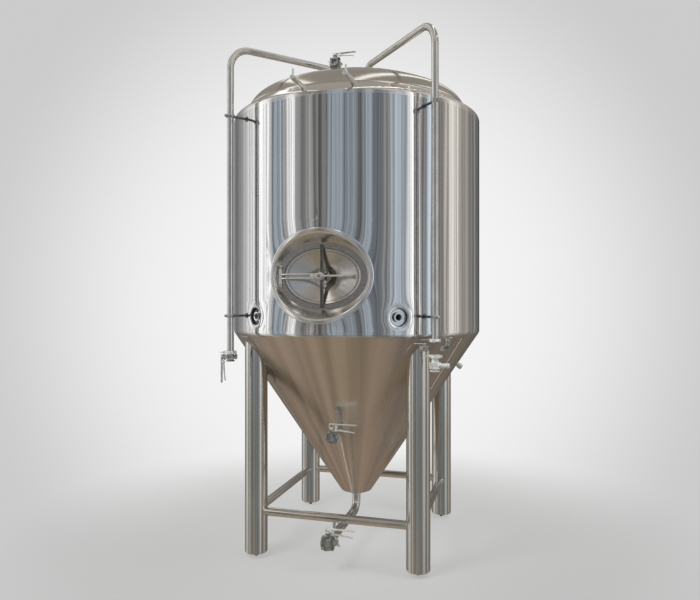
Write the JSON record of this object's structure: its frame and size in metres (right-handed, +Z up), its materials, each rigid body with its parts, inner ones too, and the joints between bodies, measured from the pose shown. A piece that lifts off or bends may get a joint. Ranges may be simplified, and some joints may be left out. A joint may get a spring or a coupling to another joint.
{
  "type": "conical fermenter",
  "caption": "Jacketed stainless conical fermenter on tube legs, with an oval manway door, cleaning and vent stand pipes, butterfly valves and levelling feet.",
  "frame": {"origin": "on the floor, on the tank's vertical axis, at the centre of the four feet", "axes": "+Z up along the tank's axis, -Y to the front where the manway is, +X to the right seen from the front"},
  "size_m": [1.56, 1.7025, 3.001],
  "materials": {
    "mirror_steel": "mirror polished",
    "brushed_steel": "fine brushed, warm",
    "satin_steel": "satin",
    "inner_steel": "pickled, smooth",
    "polished_fittings": "polished",
    "black_steel": "black oxide",
    "seal_rubber": "food-grade silicone",
    "foam": "closed-cell foam"
  },
  "bodies": {
    "tank": {"braces": "brushed_steel", "cip_pipe": "polished_fittings", "cip_valve_body": "polished_fittings", "clamp_gaskets": "seal_rubber", "cone_cladding": "brushed_steel", "cooling_jackets": "inner_steel", "drain_pipe": "polished_fittings", "drain_valve_body": "polished_fittings", "glycol_nipples": "polished_fittings", "inner_cone": "inner_steel", "inner_shell": "inner_steel", "insulation": "foam", "leg_back_left": "brushed_steel", "leg_back_right": "brushed_steel", "leg_front_left": "brushed_steel", "leg_front_right": "brushed_steel", "leg_pads": "brushed_steel", "manway_collar": "mirror_steel", "manway_frame": "satin_steel", "manway_hinge_pin": "polished_fittings", "outer_cladding": "mirror_steel", "pipe_brackets": "polished_fittings", "pipe_clamps": "polished_fittings", "port_cups": "mirror_steel", "port_stubs": "polished_fittings", "racking_pipe": "polished_fittings", "racking_valve_body": "polished_fittings", "relief_valve": "polished_fittings", "shoulder_brackets": "polished_fittings", "shoulder_ring": "brushed_steel", "spray_ball": "polished_fittings", "top_head": "brushed_steel", "top_port_pipe": "polished_fittings", "top_valve_body": "polished_fittings", "tri_clamps": "polished_fittings", "vent_pipe": "polished_fittings", "vent_tee": "polished_fittings", "vent_valve_body": "polished_fittings"},
    "swing_arm": {"swing_arm": "polished_fittings"},
    "door": {"door": "satin_steel", "door_gasket": "seal_rubber"},
    "yoke": {"yoke": "polished_fittings"},
    "handle": {"handle": "polished_fittings"},
    "cip_valve_lever": {"cip_valve_disc": "polished_fittings", "cip_valve_handle": "polished_fittings"},
    "cip_valve_trigger": {"cip_valve_trigger": "polished_fittings"},
    "racking_valve_lever": {"racking_valve_disc": "polished_fittings", "racking_valve_handle": "polished_fittings"},
    "racking_valve_trigger": {"racking_valve_trigger": "polished_fittings"},
    "drain_valve_lever": {"drain_valve_disc": "polished_fittings", "drain_valve_handle": "polished_fittings"},
    "drain_valve_trigger": {"drain_valve_trigger": "polished_fittings"},
    "top_valve_lever": {"top_valve_disc": "polished_fittings", "top_valve_handle": "polished_fittings"},
    "top_valve_trigger": {"top_valve_trigger": "polished_fittings"},
    "vent_valve_lever": {"vent_valve_handle": "polished_fittings"},
    "foot_front_left": {"foot_front_left": "black_steel"},
    "foot_front_right": {"foot_front_right": "black_steel"},
    "foot_back_left": {"foot_back_left": "black_steel"},
    "foot_back_right": {"foot_back_right": "black_steel"}
  },
  "joints": [
    {"name": "manway_swing", "type": "hinge", "parent": "tank", "child": "swing_arm", "pos_m": [-0.236, -0.716, 1.643], "axis": [0, 0, -1], "range_deg": [0, 105]},
    {"name": "door_push", "type": "slide", "parent": "swing_arm", "child": "door", "axis": [0, 1, 0], "range_m": [0, 0.012]},
    {"name": "yoke_turn", "type": "hinge", "parent": "swing_arm", "child": "yoke", "pos_m": [0, -0.712, 1.643], "axis": [0, -1, 0], "range_deg": [0, 90]},
    {"name": "handle_spin", "type": "hinge", "parent": "swing_arm", "child": "handle", "pos_m": [0, -0.755, 1.643], "axis": [0, -1, 0], "range_deg": [0, 720]},
    {"name": "cip_valve_turn", "type": "hinge", "parent": "tank", "child": "cip_valve_lever", "pos_m": [-0.5538, -0.68389, 1.1932], "axis": [-1, 0, 0], "range_deg": [0, 90]},
    {"name": "cip_trigger_squeeze", "type": "hinge", "parent": "cip_valve_lever", "child": "cip_valve_trigger", "pos_m": [-0.5988, -0.68389, 1.1632], "axis": [0, 1, 0], "range_deg": [0, 6], "stiffness_Nm_per_rad": 0.4, "springref_deg": -8.59},
    {"name": "racking_valve_turn", "type": "hinge", "parent": "tank", "child": "racking_valve_lever", "pos_m": [0, -0.538, 0.738], "axis": [0, 0, -1], "range_deg": [0, 90]},
    {"name": "racking_trigger_squeeze", "type": "hinge", "parent": "racking_valve_lever", "child": "racking_valve_trigger", "pos_m": [0.03, -0.538, 0.783], "axis": [0, -1, 0], "range_deg": [0, 6], "stiffness_Nm_per_rad": 0.4, "springref_deg": -8.59},
    {"name": "drain_valve_turn", "type": "hinge", "parent": "tank", "child": "drain_valve_lever", "pos_m": [0, -0.605, 0.167], "axis": [0, 0, -1], "range_deg": [0, 90]},
    {"name": "drain_trigger_squeeze", "type": "hinge", "parent": "drain_valve_lever", "child": "drain_valve_trigger", "pos_m": [0.03, -0.605, 0.22], "axis": [0, -1, 0], "range_deg": [0, 6], "stiffness_Nm_per_rad": 0.4, "springref_deg": -8.59},
    {"name": "top_valve_turn", "type": "hinge", "parent": "tank", "child": "top_valve_lever", "pos_m": [-0.045, -0.322, 2.938], "axis": [0, 0, -1], "range_deg": [0, 90]},
    {"name": "top_trigger_squeeze", "type": "hinge", "parent": "top_valve_lever", "child": "top_valve_trigger", "pos_m": [-0.015, -0.322, 2.983], "axis": [0, -1, 0], "range_deg": [0, 6], "stiffness_Nm_per_rad": 0.4, "springref_deg": -8.59},
    {"name": "vent_valve_turn", "type": "hinge", "parent": "tank", "child": "vent_valve_lever", "pos_m": [0.54616, -0.64359, 1.262], "axis": [0, 0, 1], "range_deg": [0, 90]},
    {"name": "foot_front_left_screw", "type": "slide", "parent": "tank", "child": "foot_front_left", "axis": [0, 0, -1], "range_m": [0, 0.035]},
    {"name": "foot_front_right_screw", "type": "slide", "parent": "tank", "child": "foot_front_right", "axis": [0, 0, -1], "range_m": [0, 0.035]},
    {"name": "foot_back_left_screw", "type": "slide", "parent": "tank", "child": "foot_back_left", "axis": [0, 0, -1], "range_m": [0, 0.035]},
    {"name": "foot_back_right_screw", "type": "slide", "parent": "tank", "child": "foot_back_right", "axis": [0, 0, -1], "range_m": [0, 0.035]}
  ],
  "couplings": [
    {"joint": "door_push", "follows": "handle_spin", "m_per_rad": 0.00095397}
  ]
}
